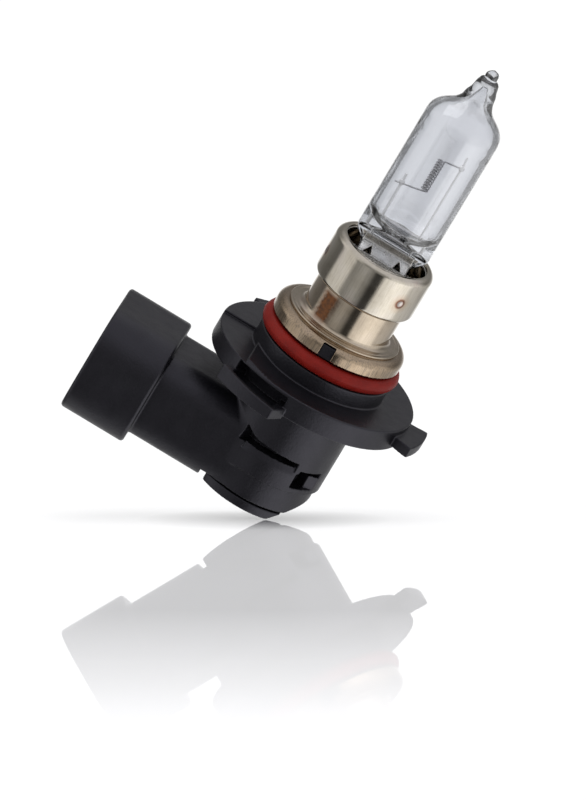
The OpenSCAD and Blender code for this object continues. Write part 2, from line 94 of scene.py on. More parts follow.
cover_low, cover_high = box_mm("bottom_cover")
COVER_LOW_Z = cover_low.z
COVER_T = 1.6
SEAM_Z = COVER_LOW_Z + COVER_T
COVER_LEFT_X = cover_low.x
BODY_LOW_R = cover_high.y

# ---- sizes of the cap
FLANGE_R = 15.25
FLANGE_T = 3.3
SPIGOT_R = 10.15
SPIGOT_TOP_Z = 2.5
SEAL_GROOVE_R = 8.35
CROWN_R = 9.45
CROWN_LOW_Z = 4.95
BODY_R = 8.95
BODY_STEP_Z = -15.9
NECK_W, NECK_H, NECK_CORNER = 16.4, 13.1, 4.2
COLLAR_LEN, COLLAR_STEP = 10.1, 1.7
CONNECTOR_Z = -14.7
NECK_END_X = -6.7
SOCKET_WALL = 1.5
SOCKET_DEPTH = 15.2
RIB_HALF_W, RIB_H, RIB_INSET = 0.7, 0.9, 1.2
BLADE_Y = 2.75
WELL_R, WELL_FLOOR_Z = 6, -8.3
CHAMBER_R, CHAMBER_LEFT_X, CHAMBER_TOP_Z = 5.9, -5, -10.3
LUG_AZIMUTHS = [(-20.5, 7.5), (104, 134)]
LUG_ROOT_R, LUG_LOW_Z, LUG_HIGH_Z = 14, -2.65, -1.05
LOW_LUG_AZ, LOW_LUG_PAST_AZ = -129.5, -85
LOW_LUG_END = ((-2.25, -17.95), (-0.47, -14.77))
LOW_LUG_ROOT_R, LOW_LUG_LOW_Z = 15.1, -3.8
LOW_LUG_LEFT_Z, LOW_LUG_RIGHT_Z = -1.5, -2.07
LUG_GROOVE_IN_R, LUG_GROOVE_OUT_R, LUG_GROOVE_LOW_Z = 13.25, 17.2, -2.75
LUG_GROOVE_AZ, LUG_GROOVE_LAP = (-128, -99), 0.4
MOUTH_END_AZ, MOUTH_LIP = -95, 0.55
SLOT_DEPTH, WINDOW_OUT_R, WINDOW_LAP = 2.4, BODY_R + 3, 0.2
UPPER_WINDOW_AZ, UPPER_SLOT_AZ = (-112, -57.6), -118
UPPER_WINDOW_LOW_Z, UPPER_SLOT_LOW_Z, UPPER_RECESS_DEPTH = -13.1, -12.05, 0.4
LOWER_SLOT_AZ, LOWER_SLOT_LOW_Z, LOWER_SLOT_TOP_Z = (-52, -24), -13, -12.25
POCKET_AZ, POCKET_LOW_Z = (-54, -35), -15.05
FACET_IN, FACET_OUT = (6.6, -4.81), (8.7, -3.33)
BEVEL_X, BEVEL_Z = 8.5, -17.85
BEVEL_RUN, BEVEL_DROP = 3.8, 3.21
LEFT_STEP_X, LEFT_STEP = -8.93, 0.4
RAMP_H, RAMP_END_X = 0.3, -4.6
# How far a hollow is drawn beyond the face that it opens in.
PAST = 5

# ---- marks of the welding
WELD_Z = 16.3
WELD_AZIMUTHS = (-46, 74, 194)
BURN_AZ, BURN_Z = -121, 10.4


# ---- distance functions
def span(value, low, high):
    """Outside a slab between low and high."""
    return np.abs(value - (low + high) / 2) - (high - low) / 2


def rounded(*sides, edge):
    """The solid inside every side, with its outside edges rounded to that radius."""
    sides = [side + edge for side in sides]
    outside = np.sqrt(sum(np.maximum(side, 0) ** 2 for side in sides))
    return np.minimum(reduce(np.maximum, sides), 0) + outside - edge


def join(a, b, fillet=0.0):
    """Both solids, with a round fillet where they meet."""
    if fillet == 0:
        return np.minimum(a, b)
    corner = np.hypot(np.maximum(fillet - a, 0), np.maximum(fillet - b, 0))
    return np.maximum(fillet, np.minimum(a, b)) - corner


def meet(a, b, edge=0.0):
    """What both solids share, with a round edge where they cross."""
    if edge == 0:
        return np.maximum(a, b)
    corner = np.hypot(np.maximum(edge + a, 0), np.maximum(edge + b, 0))
    return np.minimum(-edge, np.maximum(a, b)) + corner


def cut(a, b, edge=0.0):
    """Solid a without solid b, with a round edge around the cut."""
    return meet(a, -b, edge)


def between_azimuths(x, y, start, end):
    """Outside the wedge between two azimuths, in degrees, less than 180 apart."""
    a, b = math.radians(start), math.radians(end)
    return np.maximum(x * math.sin(a) - y * math.cos(a), y * math.cos(b) - x * math.sin(b))


def wedge(x, y, z, r_in, r_out, start, end, low, high, edge):
    """A block of a ring, with rounded edges."""
    rho = np.hypot(x, y)
    return rounded(rho - r_out, r_in - rho, span(z, low, high),
                   between_azimuths(x, y, start, end), edge=edge)


def bar(x, y, z, x0, x1, w, h, corner, edge):
    """A bar along X with a rounded section on the connector's axis."""
    section = rounded(np.abs(y) - w / 2, np.abs(z - CONNECTOR_Z) - h / 2, edge=corner)
    return rounded(section, span(x, x0, x1), edge=edge)


def smooth_step(value, low, high):
    """0 below low and 1 above high, with a smooth rise between them."""
    t = np.clip((value - low) / (high - low), 0, 1)
    return t * t * (3 - 2 * t)


# ---- meshes
MOST_FACES = 95000


def add_object(name, data):
    """A new object in the scene."""
    obj = bpy.data.objects.new(name, data)
    bpy.context.scene.collection.objects.link(obj)
    return obj


def make_piece(name, points, faces, material, slot, replaced=()):
    """A shown piece from points in millimetres, riding on the one body."""
    mesh = bpy.data.meshes.new(name)
    mesh.from_pydata((np.asarray(points, float) * MM).tolist(), [], [list(f) for f in faces])
    mesh.validate()
    mesh.polygons.foreach_set("use_smooth", [True] * len(mesh.polygons))
    mesh.materials.append(material)
    obj = add_object(name, mesh)
    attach(obj, "root")
    if replaced:
        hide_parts(*replaced)
    return obj


def slope_of(distance, points):
    """The distance function's gradient at each point."""
    reach = 0.01
    steps = np.eye(3) * reach
    return np.stack([distance(*(points + s).T) - distance(*(points - s).T) for s in steps],
                    axis=1) / (2 * reach)


def settle(distance, points, limit, rounds=4):
    """Moves points onto the solid's surface, no further than limit each time."""
    least_steep = 0.05
    for _ in range(rounds):
        slope = slope_of(distance, points)
        steep = np.maximum((slope ** 2).sum(1), least_steep)
        move = distance(*points.T) / steep
        points = points - np.clip(move, -limit, limit)[:, None] * slope
    return points


def surface_net(distance, low, high, cell):
    """Points and four-sided faces of the solid's surface, one point in each crossed cell."""
    axes = [np.arange(low[i] - 2 * cell, high[i] + 2.5 * cell, cell) for i in range(3)]
    field = np.asarray(distance(*np.meshgrid(*[a.astype(np.float32) for a in axes],
                                             indexing="ij", sparse=True)))
    inside = field < 0
    shape = np.array(field.shape) - 1
    corners = np.zeros(shape, np.int8)
    for i, j, k in np.ndindex(2, 2, 2):
        corners += inside[i:shape[0] + i, j:shape[1] + j, k:shape[2] + k]
    crossed = (corners > 0) & (corners < 8)
    cells = np.argwhere(crossed)
    number = np.full(crossed.shape, -1, np.int64)
    number[crossed] = np.arange(len(cells))

    total, hits = np.zeros((len(cells), 3)), np.zeros(len(cells))
    for axis in range(3):
        u, v = [a for a in range(3) if a != axis]
        for du, dv in np.ndindex(2, 2):
            start = cells.copy()
            start[:, u] += du
            start[:, v] += dv
            end = start.copy()
            end[:, axis] += 1
            a, b = field[tuple(start.T)], field[tuple(end.T)]
            here = np.nonzero((a < 0) != (b < 0))[0]
            point = start[here].astype(float)
            point[:, axis] += a[here] / (a[here] - b[here])
            total[here] += point
            hits[here] += 1
    points = total / hits[:, None] * cell + np.array([a[0] for a in axes])

    faces = []
    for axis in range(3):
        u, v = [a for a in range(3) if a != axis]
        first = np.take(inside, range(inside.shape[axis] - 1), axis)
        second = np.take(inside, range(1, inside.shape[axis]), axis)
        edges = np.argwhere(first != second)
        around = []
        for du, dv in ((-1, -1), (0, -1), (0, 0), (-1, 0)):
            spot = edges.copy()
            spot[:, u] += du
            spot[:, v] += dv
            around.append(number[tuple(spot.T)])
        quads = np.stack(around, axis=1)
        turn = first[tuple(edges.T)] == (axis == 1)
        quads[turn] = quads[turn][:, ::-1]
        faces.append(quads)
    return points, np.concatenate(faces)


def mesh_points(obj):
    """An object's points, in metres."""
    flat = np.zeros(len(obj.data.vertices) * 3)
    obj.data.vertices.foreach_get("co", flat)
    return flat.reshape(-1, 3)


def solid(name, distance, low, high, cell, material, slot, replaced=()):
    """A piece from a distance function, with normals from the function itself."""
    points, faces = surface_net(distance, low, high, cell)
    points = settle(distance, points, cell / 2)
    obj = make_piece(name, points, faces, material, slot, replaced)
    if len(faces) > MOST_FACES:
        thin(obj, MOST_FACES / len(faces))
    slope = slope_of(distance, settle(distance, mesh_points(obj) / MM, cell / 2, 1))
    slope /= np.maximum(np.linalg.norm(slope, axis=1), 1e-6)[:, None]
    obj.data.normals_split_custom_set_from_vertices(slope.tolist())
    return obj


def thin(obj, ratio):
    """Joins faces where the surface is nearly flat."""
    modifier = obj.modifiers.new("thin", "DECIMATE")
    modifier.ratio = ratio
    graph = bpy.context.evaluated_depsgraph_get()
    fewer = bpy.data.meshes.new_from_object(obj.evaluated_get(graph))
    obj.modifiers.clear()
    old, obj.data = obj.data, fewer
    fewer.name = obj.name
    bpy.data.meshes.remove(old)


def arc(r, z, radius, start, end, steps=8):
    """Points of an arc in the (r, z) plane, angles in degrees from the +r direction."""
    turns = [math.radians(start + (end - start) * i / steps) for i in range(steps + 1)]
    return [(r + radius * math.cos(t), z + radius * math.sin(t)) for t in turns]


def line(start, end, steps):
    """Points along a straight stretch, without its ends."""
    return [tuple(start[i] + (end[i] - start[i]) * k / steps for i in range(2))
            for k in range(1, steps)]


def lathe(outline, steps=256):
    """Points and faces of a closed outline turned about the axis."""
    n = len(outline)
    turns = np.arange(steps) * 2 * math.pi / steps
    r, z = np.array(outline).T
    points = np.stack([np.outer(np.cos(turns), r), np.outer(np.sin(turns), r),
                       np.broadcast_to(z, (steps, n))], axis=2).reshape(-1, 3)
    i, j = np.meshgrid(np.arange(steps), np.arange(n), indexing="ij")
    i2, j2 = (i + 1) % steps, (j + 1) % n
    faces = np.stack([i * n + j, i2 * n + j, i2 * n + j2, i * n + j2], axis=2)
    return points, faces.reshape(-1, 4)


def tube(path, radii, sides=12):
    """Points and faces of a round wire along a path, with closed ends."""
    path = np.asarray(path, float)
    radii = np.broadcast_to(radii, len(path))
    along = np.gradient(path, axis=0)
    along /= np.linalg.norm(along, axis=1)[:, None]
    askew = (0.3, 1, 0.2)
    side = np.cross(along[0], askew)
    points = []
    for p, a, r in zip(path, along, radii):
        side = side - a * (side @ a)
        side /= np.linalg.norm(side)
        other = np.cross(a, side)
        for k in range(sides):
            t = 2 * math.pi * k / sides
            points.append(p + r * (math.cos(t) * side + math.sin(t) * other))
    n = len(path)
    faces = [[i * sides + k, i * sides + (k + 1) % sides,
              (i + 1) * sides + (k + 1) % sides, (i + 1) * sides + k]
             for i in range(n - 1) for k in range(sides)]
    low, high = len(points), len(points) + 1
    points += [path[0], path[-1]]
    for k in range(sides):
        k2 = (k + 1) % sides
        faces.append([low, k2, k, k])
        faces.append([high, (n - 1) * sides + k, (n - 1) * sides + k2, (n - 1) * sides + k2])
    return np.array(points), [list(dict.fromkeys(f)) for f in faces]


# ---- shader nodes
def feed(tree, socket, value):
    """Links a socket to another one, or gives it a constant."""
    if isinstance(value, bpy.types.NodeSocket):
        tree.links.new(value, socket)
    else:
        socket.default_value = value


def add_node(tree, kind, inputs=(), **settings):
    """A node with its settings made and its inputs given, as numbers or sockets."""
    made = tree.nodes.new(kind)
    for key, value in settings.items():
        setattr(made, key, value)
    for key, value in dict(inputs).items():
        feed(tree, made.inputs[key], value)
    return made


def add_math(tree, operation, *values):
    """The result of a sum on numbers or sockets."""
    return add_node(tree, "ShaderNodeMath", enumerate(values), operation=operation).outputs[0]


def add_ramp(tree, value, stops, interpolation="LINEAR"):
    """Colours along value, as (place, (r, g, b)) stops."""
    made = add_node(tree, "ShaderNodeValToRGB", {"Fac": value})
    band = made.color_ramp
    band.interpolation = interpolation
    while len(band.elements) < len(stops):
        band.elements.new(0.5)
    for element, (place, colour) in zip(band.elements, stops):
        element.position = place
        element.color = (*colour, 1)
    return made.outputs["Color"]


def add_mix(tree, share, a, b):
    """Colour a, turned into colour b by share."""
    made = add_node(tree, "ShaderNodeMix", {0: share}, data_type="RGBA")
    for socket, value in ((made.inputs[6], a), (made.inputs[7], b)):
        feed(tree, socket, (*value, 1) if isinstance(value, tuple) else value)
    return made.outputs[2]


def add_blend(tree, share, a, b):
    """Shader a, turned into shader b by share."""
    return add_node(tree, "ShaderNodeMixShader",
                    {0: share, 1: a.outputs[0], 2: b.outputs[0]})


# ---- materials
# Most of a noise's values lie between these two.
MIDDLE = (0.3, 0.7)


class Finish:
    """A material with a Principled shader and the nodes that feed it."""

    def __init__(self, name, **sockets):
        self.material = bpy.data.materials.new(name)
        self.material.use_nodes = True
        self.tree = self.material.node_tree
        self.shader = self.tree.nodes["Principled BSDF"]
        for socket, value in sockets.items():
            self.set(socket.replace("_", " "), value)
        self.place = self.node("ShaderNodeTexCoord").outputs["Object"]

    def set(self, socket, value):
        """Gives one of the shader's inputs a constant or a link."""
        feed(self.tree, self.shader.inputs[socket], value)

    def node(self, kind, inputs=(), **settings):
        return add_node(self.tree, kind, inputs, **settings)

    def ramp(self, value, stops):
        return add_ramp(self.tree, value, stops)

    def mix(self, share, a, b):
        return add_mix(self.tree, share, a, b)

    def math(self, operation, a, b=0.0):
        return add_math(self.tree, operation, a, b)

    def noise(self, size, detail=3.0, stretch=(1, 1, 1), roughness=0.55):
        """Noise with features about size millimetres across, times stretch on each axis."""
        scale = [1 / (MM * size * s) for s in stretch]
        mapped = self.node("ShaderNodeMapping", {"Vector": self.place, "Scale": scale})
        made = self.node("ShaderNodeTexNoise",
                         {"Vector": mapped.outputs[0], "Scale": 1.0, "Detail": detail,
                          "Roughness": roughness})
        return made.outputs["Fac"]

    def spread(self, value, low, high, to_low, to_high):
        """value from low..high taken to to_low..to_high and held there."""
        made = self.node("ShaderNodeMapRange",
                         {"Value": value, "From Min": low, "From Max": high,
                          "To Min": to_low, "To Max": to_high})
        return made.outputs[0]

    def mottle(self, size, low, high, detail=3.0):
        """A value between low and high that follows noise of that size."""
        return self.spread(self.noise(size, detail), *MIDDLE, low, high)

    def two_tone(self, noise, dark, light):
        """A colour between dark and light that follows a noise."""
        return self.ramp(noise, list(zip(MIDDLE, (dark, light))))

    def near(self, point, inner, outer):
        """1 within inner millimetres of a point, falling to 0 at outer."""
        far = self.node("ShaderNodeVectorMath",
                        {0: self.place, 1: [c * MM for c in point]}, operation="DISTANCE")
        return self.spread(far.outputs["Value"], inner * MM, outer * MM, 1, 0)

    def bump(self, *layers):
        """Bumps from (height, depth in millimetres) layers, one over another."""
        normal = None
        for height, depth in layers:
            inputs = {"Height": height, "Strength": 1.0, "Distance": depth * MM}
            if normal is not None:
                inputs["Normal"] = normal
            normal = self.node("ShaderNodeBump", inputs).outputs[0]
        self.set("Normal", normal)


def on_cylinder(r, azimuth, z):
    """A point by radius, azimuth in degrees and height."""
    a = math.radians(azimuth)
    return (r * math.cos(a), r * math.sin(a), z)


def weld_spots(f, colour):
    """Heat marks round each spot weld: a straw halo, a burnt ring and a bright core."""
    for azimuth in WELD_AZIMUTHS:
        spot = on_cylinder(CAN_R, azimuth, WELD_Z)
        halo = f.math("MULTIPLY", f.near(spot, 0.6, 1.8), 0.35)
        colour = f.mix(halo, colour, (0.46, 0.24, 0.09))
        burn = f.math("MULTIPLY", f.near(spot, 0.62, 0.94), 0.9)
        colour = f.mix(burn, colour, (0.14, 0.035, 0.012))
        core = f.near(spot, 0.34, 0.56)
        colour = f.mix(core, colour, (0.52, 0.47, 0.44))
    return colour


def burnt_patch(f, colour):
    """An upright brown heat stain on the neck, with an uneven outline."""
    facing_patch = {"Vector": f.place, "Rotation": (0, 0, math.radians(-BURN_AZ))}
    turned = f.node("ShaderNodeMapping", facing_patch)
    parts = f.node("ShaderNodeSeparateXYZ", {0: turned.outputs[0]}).outputs
    wobble = f.math("MULTIPLY", f.math("SUBTRACT", f.noise(0.5, 3), 0.5), 0.9 * MM)
    across = f.math("ABSOLUTE", f.math("ADD", parts[1], wobble))
    height = f.math("ABSOLUTE", f.math("SUBTRACT", parts[2], BURN_Z * MM))
    patch = f.math("MULTIPLY", f.spread(across, 0.8 * MM, 1.8 * MM, 1, 0),
                   f.spread(height, 1.8 * MM, 2.6 * MM, 1, 0))
    patch = f.math("MULTIPLY", patch, f.math("GREATER_THAN", parts[0], 0.0))
    burnt = f.ramp(f.noise(0.6, 3), [(0.35, (0.15, 0.042, 0.003)),
                                     (0.65, (0.06, 0.015, 0.002))])
    return f.mix(f.math("MULTIPLY", patch, 0.92), colour, burnt)


def collar_finish(name, cast=(1, 1, 1.03), roughness=0.06, scratches=0.002, streaks=0.15,
                  marks=None):
    """Nickel-plated sheet steel, finely brushed, with cream and pink tints."""
    f = Finish(name, Metallic=1.0)
    tones = [(0.30, (0.52, 0.47, 0.38)), (0.48, (0.61, 0.56, 0.46)),
             (0.60, (0.63, 0.58, 0.49)), (0.75, (0.58, 0.50, 0.43))]
    colour = f.ramp(f.noise(3.2, 3), [(place, tuple(a * b for a, b in zip(tone, cast)))
                                      for place, tone in tones])
    lines = f.noise(1.0, 5, (0.05, 0.05, 3.0), 0.65)
    worn = f.spread(f.noise(1.0, 4, (0.16, 0.16, 2.5), 0.7), 0.47, 0.62, 0, streaks)
    colour = f.mix(worn, colour, (0.20, 0.165, 0.13))
    if marks:
        colour = marks(f, colour)
    f.set("Base Color", colour)
    f.set("Roughness", f.mottle(1.6, roughness, roughness + 0.07, detail=4))
    f.bump((lines, scratches))
    return f.material


def plastic_finish(name):
    """Black moulded plastic with a fine spark-eroded grain and light wear."""
    f = Finish(name, IOR=1.54, Specular_Tint=(0.88, 0.86, 1.0, 1))
    colour = f.two_tone(f.noise(4.0, 4), (0.0035, 0.0033, 0.0045), (0.006, 0.0058, 0.0075))
    dust = f.spread(f.noise(0.22, 1), 0.72, 0.80, 0, 0.4)
    f.set("Base Color", f.mix(dust, colour, (0.04, 0.04, 0.045)))
    f.set("Roughness", f.mottle(2.2, 0.32, 0.44, detail=5))
    f.bump((f.noise(0.36, 3), 0.032), (f.noise(2.6, 2), 0.014))
    return f.material


def rubber_finish():
    """Red silicone, satin, with a faint bloom."""
    f = Finish("seal_rubber", IOR=1.4, Specular_IOR_Level=0.3)
    f.set("Base Color", f.two_tone(f.noise(2.5, 4), (0.19, 0.008, 0.005), (0.26, 0.012, 0.007)))
    f.set("Roughness", f.mottle(1.2, 0.42, 0.56, detail=4))
    f.bump((f.noise(0.12, 2), 0.004), (f.noise(1.5, 2), 0.01))
    return f.material


def glass_finish():
    """Clear quartz with a faint cool tint and slight drawing ripples."""
    f = Finish("clear_glass", IOR=1.36, Transmission_Weight=1.0, Roughness=0.0,
               Coat_Weight=1.0, Coat_Roughness=0.02, Coat_IOR=1.9)
    f.set("Base Color", f.two_tone(f.noise(5.0, 2, (1, 1, 2)), (0.945, 0.948, 0.972),
                                   (0.965, 0.968, 0.985)))
    f.bump((f.noise(2.2, 1, (1, 1, 2.5)), 0.002))
    return f.material


def wire_finish(name, dark, light):
    """Drawn refractory metal wire, with lines along it."""
    f = Finish(name, Metallic=1.0)
    f.set("Base Color", f.two_tone(f.noise(0.5, 4), dark, light))
    f.set("Roughness", f.mottle(0.3, 0.32, 0.48))
    f.bump((f.noise(0.06, 2, (1, 1, 12)), 0.003))
    return f.material


def bright_steel_finish():
    """Bright rolled spring steel with fine scratches and a straw tint."""
    f = Finish("clip_steel", Metallic=1.0)
    f.set("Base Color", f.two_tone(f.noise(1.3, 4), (0.60, 0.58, 0.55), (0.74, 0.73, 0.71)))
    f.set("Roughness", f.mottle(0.8, 0.16, 0.30, detail=4))
    f.bump((f.noise(0.08, 3, (8, 1, 1)), 0.004), (f.noise(0.9, 2), 0.010))
    return f.material


def tinned_finish():
    """Tin-plated brass: pale, with a warm cast and rolling marks."""
    f = Finish("contact_metal", Metallic=1.0)
    f.set("Base Color", f.two_tone(f.noise(0.9, 4), (0.70, 0.67, 0.60), (0.80, 0.78, 0.74)))
    f.set("Roughness", f.mottle(0.7, 0.24, 0.38))
    f.bump((f.noise(0.05, 3, (20, 1, 1)), 0.003))
    return f.material


def resin_finish():
    """Cured brown sealing resin with small bubbles."""
    f = Finish("compound", IOR=1.5)
    f.set("Base Color", f.two_tone(f.noise(1.5, 5), (0.07, 0.045, 0.025), (0.13, 0.085, 0.05)))
    f.set("Roughness", f.mottle(1.0, 0.30, 0.50))
    f.bump((f.noise(0.4, 3), 0.02))
    return f.material


# ---- glass and filament
SHOULDER_R, SHOULDER_Z = 3.3, 44.4
TIP_ROOT_R, TIP_ROOT_Z, TIP_END_Z = 2.5, 45.6, 49.75
TIP_SLOPE = math.atan2(1.0, 3.6)
WALL_T, TIP_WALL_T = 1.05, 1.35
BORE_LOW_Z, BORE_LOW_CORNER = 23.7, 2.5
PINCH_HALF_W, PINCH_HALF_T = 4.0, 1.45
# Heights between which the wall thickens, the melt sets in and the pinch spreads.
WALL_Z, MELT_Z = (43.5, 47), (44.6, 46.0)
PINCH_W_Z, PINCH_T_Z = (19.4, 22.3), (21.5, 24.9)
COIL_WIRE_R = 0.12
POST_LOW_Z = 17.6


def glass_outside(rho, z):
    """The tube, its shoulder and its sealed tip."""
    past_pinch, inside_tube_z = 8, 40
    barrel = rounded(rho - TUBE_R, span(z, PINCH_LOW_Z - past_pinch, SHOULDER_Z),
                     edge=SHOULDER_R)
    cone = ((rho - TIP_ROOT_R) * math.cos(TIP_SLOPE)
            + (z - TIP_ROOT_Z) * math.sin(TIP_SLOPE))
    tip = rounded(cone, span(z, inside_tube_z, TIP_END_Z), edge=0.5)
    body = join(barrel, tip, fillet=1.5)
    ball = np.hypot(rho, z - TIP_BALL_Z) - TIP_BALL_R
    return join(body, ball, fillet=0.25)


def glass_bore(rho, z):
    """The space inside the tube; the wall thickens towards the tip."""
    wall = WALL_T + (TIP_WALL_T - WALL_T) * smooth_step(z, *WALL_Z)
    return meet(glass_outside(rho, z) + wall, BORE_LOW_Z - z, edge=BORE_LOW_CORNER)


def glass(x, y, z):
    """The envelope, with its flattened pinch at the foot and uneven melt on its tip."""
    rho = np.hypot(x, y)
    azimuth = np.arctan2(y, x)
    steep_w, steep_t, melt_h = 0.75, 0.6, 0.07
    melt = melt_h * smooth_step(z, *MELT_Z)
    ripple = melt * np.sin(2.6 * z + 1.3 * np.sin(azimuth)) * np.cos(3 * azimuth + z)
    half_w = PINCH_HALF_W + (TUBE_R - PINCH_HALF_W) * smooth_step(z, *PINCH_W_Z)
    half_t = PINCH_HALF_T + (TUBE_R - PINCH_HALF_T) * smooth_step(z, *PINCH_T_Z)
    pinch = rounded(steep_w * (np.abs(x) - half_w), steep_t * (np.abs(y) - half_t),
                    PINCH_LOW_Z - z, edge=0.5)
    return cut(meet(glass_outside(rho - ripple, z), pinch, edge=0.3), glass_bore(rho, z))


def leg_points(start, run, climb, parts):
    """Points along a leg of the filament, both ends among them."""
    x, z = start
    return [(x + run * i / parts, 0, z + climb * i / parts) for i in range(parts + 1)]


def coil_points():
    """The filament's wire: lower leg, coil and upper leg."""
    low_z, height, turns, mid_r = 30.72, 5.4, 12, 0.58
    rise = (height - 2 * COIL_WIRE_R) / turns
    steps = 32
    lower = leg_points((-4.2, 29.68), run=4.75, climb=0.98, parts=14)
    coil = []
    for i in range(turns * steps + 1):
        a = 2 * math.pi * i / steps
        coil.append((mid_r * math.cos(a), mid_r * math.sin(a), low_z + rise * i / steps))
    top_x, _, top_z = coil[-1]
    upper = leg_points((top_x, top_z), run=2.75, climb=0.42, parts=10)
    return lower[:-1] + coil + upper[1:]


def post_shape(x_post, y_post, top_z, r, grip_z):
    """A support post: a round wire with a rounded head, flattened where it grips the leg."""
    half_w, half_d, half_h = 0.44, 0.34, 0.46
    forward = 0.12

    def distance(x, y, z):
        rho = np.hypot(x - x_post, y - y_post)
        wire = rounded(rho - r, span(z, POST_LOW_Z, top_z), edge=r * 0.9)
        grip = np.sqrt(((x - x_post) / half_w) ** 2 + ((y - y_post + forward) / half_d) ** 2
                       + ((z - grip_z) / half_h) ** 2) - 1
        return join(wire, half_d * grip, fillet=0.04)
    return distance


def build_lamp():
    """The glass, the filament, its posts, and the foils and leads sealed out of sight."""
    tungsten = wire_finish("tungsten", (0.34, 0.33, 0.34), (0.48, 0.47, 0.48))
    molybdenum = wire_finish("molybdenum", (0.80, 0.79, 0.78), (0.90, 0.89, 0.87))
    solid("quartz_tube", glass, glass_low, glass_high, 0.17, glass_finish(), "clear_glass",
          ["glass_envelope"])
    make_piece("filament", *tube(coil_points(), COIL_WIRE_R), tungsten, "tungsten", ["filament_coil"])
    reach = 0.6
    for name, node, x, y, top_z, r, grip_z in (
            ("support_post_short", "lead_post_short", -3.26, 0.34, 31.4, 0.22, 29.95),
            ("support_post_tall", "lead_post_tall", 2.96, 0.30, 37.8, 0.18, 36.2)):
        solid(name, post_shape(x, y, top_z, r, grip_z), (x - reach, y - reach, POST_LOW_Z),
              (x + reach, y + reach, top_z), 0.08, molybdenum, "molybdenum", [node])
    for node in ("seal_foil_left", "seal_foil_right", "outer_lead_left", "outer_lead_right"):
        paint_node(node, molybdenum)


def paint_node(node, material):
    """Gives a carried-over CAD node its finish."""
    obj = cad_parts[node]
    if not obj.material_slots:
        obj.data.materials.append(material)
    for slot in obj.material_slots:
        slot.material = material


# ---- metal collar
SLOT_AZIMUTHS = (-90, 30, 150)
SLOT_HALF_W, SLOT_IN_R, SLOT_ROOF_T = 1, 8, 0.3
CLIP_T, CLIP_GAP = 0.35, 0.05
JAW_HALF_W, JAW_Y, JAW_LOW_Z, JAW_HIGH_Z = 3.85, 1.46, 20.35, 21.7
APRON_TOP, APRON_LOW_Y = (1.64, 20.5), 3.8
# Each side of the gap: its x at the apron's low edge, and its lean's cosine and sine.
APRON_GAP = ((1.75, 0.967, 0.256), (3.1, 0.884, 0.468))


def can_outline():
    """The upper sleeve's sheet: rim turned in at the top, heel turned in at the bottom."""
    corner, heel, lip = 1.0, 0.8, 0.12
    rim_r, low_r = 6.35, NECK_R + 0.02
    top, low = CAN_TOP_Z, CAN_LOW_Z
    outside = (arc(rim_r + lip, top - lip, lip, 180, 90, 4)
               + arc(CAN_R - corner, top - corner, corner, 90, 0, 10)
               + line((CAN_R, top - corner), (CAN_R, low + heel), 44)
               + arc(CAN_R - heel, low + heel, heel, 0, -90, 8)
               + [(low_r, low)])
    inside = ([(low_r, low + SHEET)]
              + arc(CAN_R - heel, low + heel, heel - SHEET, -90, 0, 5)
              + arc(CAN_R - corner, top - corner, corner - SHEET, 0, 90, 5)
              + [(rim_r + lip, top - SHEET)]
              + arc(rim_r + lip, top - SHEET + lip, lip, -90, -180, 3))
    return outside + inside


def press_welds(points):
    """Sinks each spot weld into the sleeve, with a low ridge thrown up around it."""
    ridge_h, ridge_r, ridge_w = 0.05, 0.5, 0.13
    dent_t, dent_r = 0.09, 0.34
    for azimuth in WELD_AZIMUTHS:
        d = np.linalg.norm(points - np.array(on_cylinder(CAN_R, azimuth, WELD_Z)), axis=1)
        push = (ridge_h * np.exp(-((d - ridge_r) / ridge_w) ** 2)
                - dent_t * np.exp(-(d / dent_r) ** 2))
        rho = np.hypot(points[:, 0], points[:, 1])
        points[:, :2] *= (1 + push / rho)[:, None]
    return points


def neck_outline():
    """The lower sleeve: a neck that flares through a fillet into its welded foot."""
    fillet, foot_t, rim = 0.8, 0.3, 0.12
    lead_in, lead_in_h = 0.08, 0.1
    step_r, step_h = FOOT_R - 0.75, 0.06
    rise_r, rise_h = FOOT_R - 0.5, 0.10
    foot_z = RING_TOP_Z + foot_t
    return ([(NECK_R - SHEET, NECK_TOP_Z), (NECK_R - lead_in, NECK_TOP_Z)]
            + [(NECK_R, NECK_TOP_Z - lead_in_h)]
            + line((NECK_R, NECK_TOP_Z - lead_in_h), (NECK_R, foot_z + fillet), 12)
            + arc(NECK_R + fillet, foot_z + fillet, fillet, 180, 270, 10)
            + arc(step_r, foot_z - step_h, step_h, 90, 30, 3)
            + arc(rise_r, foot_z - rise_h, rise_h, 150, 90, 3)
            + arc(FOOT_R - rim, foot_z - rim, rim, 90, 0, 4)
            + [(FOOT_R, RING_TOP_Z), (NECK_R - SHEET, RING_TOP_Z)])


def locating_ring(x, y, z):
    """A pressed ring with a rounded shoulder and three keying slots."""
    sheet, past_foot = 0.5, 4
    rho = np.hypot(x, y)
    outer = rounded(rho - RING_R, span(z, RING_LOW_Z - past_foot, RING_TOP_Z), edge=1.2)
    outer = meet(outer, RING_LOW_Z - z, edge=0.12)
    inner = rounded(rho - (RING_R - sheet), span(z, 0, RING_TOP_Z - sheet), edge=0.7)
    ring = meet(cut(outer, inner, edge=0.05), (NECK_R - SHEET) - rho, edge=0.08)
    for azimuth in SLOT_AZIMUTHS:
        a = math.radians(azimuth)
        outward = x * math.cos(a) + y * math.sin(a)
        across = y * math.cos(a) - x * math.sin(a)
        slot = rounded(np.abs(across) - SLOT_HALF_W, SLOT_IN_R - outward,
                       z - (RING_TOP_Z - SLOT_ROOF_T), edge=0.05)
        ring = cut(ring, slot, edge=0.07)
    return ring


